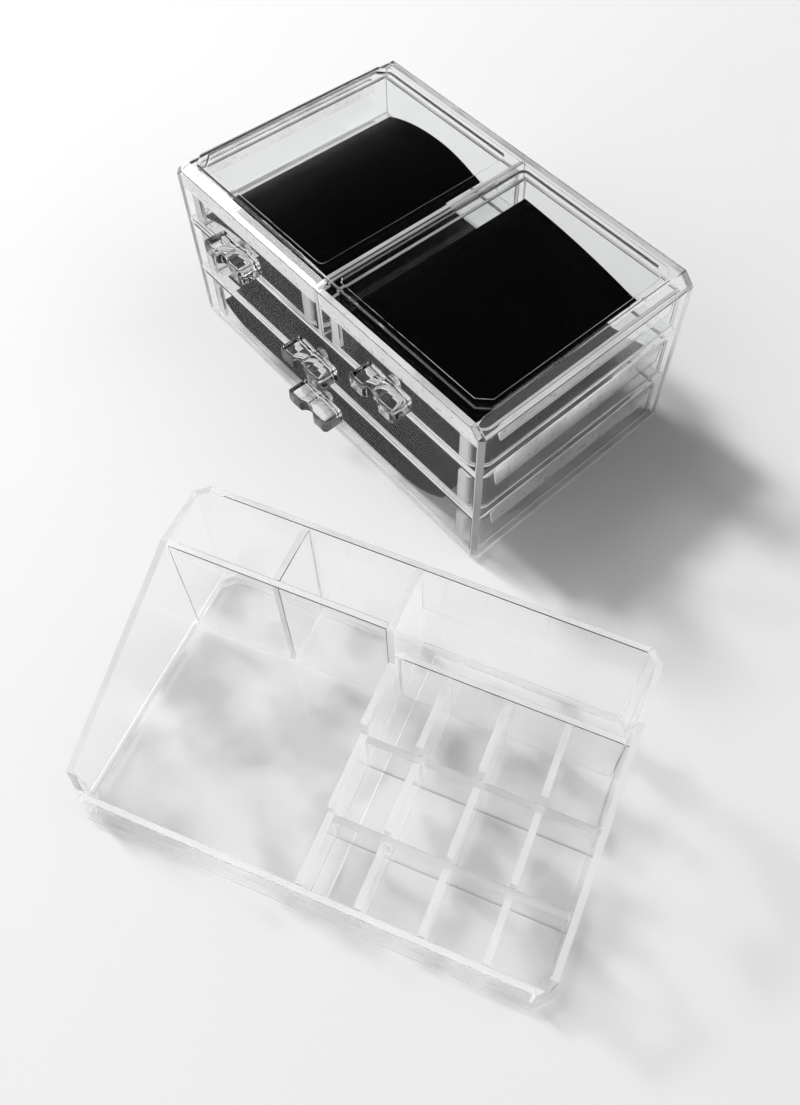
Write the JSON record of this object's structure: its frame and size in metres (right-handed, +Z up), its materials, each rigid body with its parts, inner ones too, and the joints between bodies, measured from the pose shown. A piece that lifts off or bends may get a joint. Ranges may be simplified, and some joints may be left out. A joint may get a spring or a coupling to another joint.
{
  "type": "acrylic makeup organizer",
  "caption": "Clear acrylic makeup organizer: a case of black-lined drawers with bow-tie knobs, and a loose stepped lipstick tray that nests on the case top.",
  "frame": {"origin": "centre of the drawer case's underside", "axes": "+Z up, +X to the right along the drawer fronts, drawers open towards -Y; the loose tray stands in front of the case as pictured"},
  "size_m": [0.411, 0.3622, 0.1156],
  "materials": {
    "clear_acrylic": "clear polished",
    "black_sheet": "glossy thin sheet"
  },
  "bodies": {
    "case": {"case_back_panel": "clear_acrylic", "case_base_panel": "clear_acrylic", "case_centre_divider": "clear_acrylic", "case_left_panel": "clear_acrylic", "case_lower_shelf": "clear_acrylic", "case_right_panel": "clear_acrylic", "case_top_panel": "clear_acrylic", "case_upper_shelf": "clear_acrylic"},
    "top_left_drawer": {"top_left_drawer_back": "clear_acrylic", "top_left_drawer_floor": "clear_acrylic", "top_left_drawer_front": "clear_acrylic", "top_left_drawer_knob": "clear_acrylic", "top_left_drawer_left_side": "clear_acrylic", "top_left_drawer_liner": "black_sheet", "top_left_drawer_right_side": "clear_acrylic"},
    "top_right_drawer": {"top_right_drawer_back": "clear_acrylic", "top_right_drawer_floor": "clear_acrylic", "top_right_drawer_front": "clear_acrylic", "top_right_drawer_knob": "clear_acrylic", "top_right_drawer_left_side": "clear_acrylic", "top_right_drawer_liner": "black_sheet", "top_right_drawer_right_side": "clear_acrylic"},
    "middle_drawer": {"middle_drawer_back": "clear_acrylic", "middle_drawer_floor": "clear_acrylic", "middle_drawer_front": "clear_acrylic", "middle_drawer_knob": "clear_acrylic", "middle_drawer_left_side": "clear_acrylic", "middle_drawer_liner": "black_sheet", "middle_drawer_right_side": "clear_acrylic"},
    "bottom_drawer": {"bottom_drawer_back": "clear_acrylic", "bottom_drawer_floor": "clear_acrylic", "bottom_drawer_front": "clear_acrylic", "bottom_drawer_knob": "clear_acrylic", "bottom_drawer_left_side": "clear_acrylic", "bottom_drawer_liner": "black_sheet", "bottom_drawer_right_side": "clear_acrylic"},
    "tray": {"tray_base": "clear_acrylic", "tray_centre_wall": "clear_acrylic", "tray_column_divider_1": "clear_acrylic", "tray_column_divider_2": "clear_acrylic", "tray_column_divider_3": "clear_acrylic", "tray_front_lip": "clear_acrylic", "tray_left_wall": "clear_acrylic", "tray_partition": "clear_acrylic", "tray_rear_divider": "clear_acrylic", "tray_rear_wall": "clear_acrylic", "tray_right_wall": "clear_acrylic", "tray_row_wall_1": "clear_acrylic", "tray_row_wall_2": "clear_acrylic", "tray_slot_wall": "clear_acrylic"}
  },
  "joints": [
    {"name": "top_left_drawer_slide", "type": "slide", "parent": "case", "child": "top_left_drawer", "axis": [0, -1, 0], "range_m": [0, 0.11]},
    {"name": "top_right_drawer_slide", "type": "slide", "parent": "case", "child": "top_right_drawer", "axis": [0, -1, 0], "range_m": [0, 0.052]},
    {"name": "middle_drawer_slide", "type": "slide", "parent": "case", "child": "middle_drawer", "axis": [0, -1, 0], "range_m": [0, 0.052]},
    {"name": "bottom_drawer_slide", "type": "slide", "parent": "case", "child": "bottom_drawer", "axis": [0, -1, 0], "range_m": [0, 0.052]},
    {"name": "tray_lift", "type": "slide", "parent": "case", "child": "tray", "axis": [0, 0, 1], "range_m": [0, 0.12]}
  ]
}
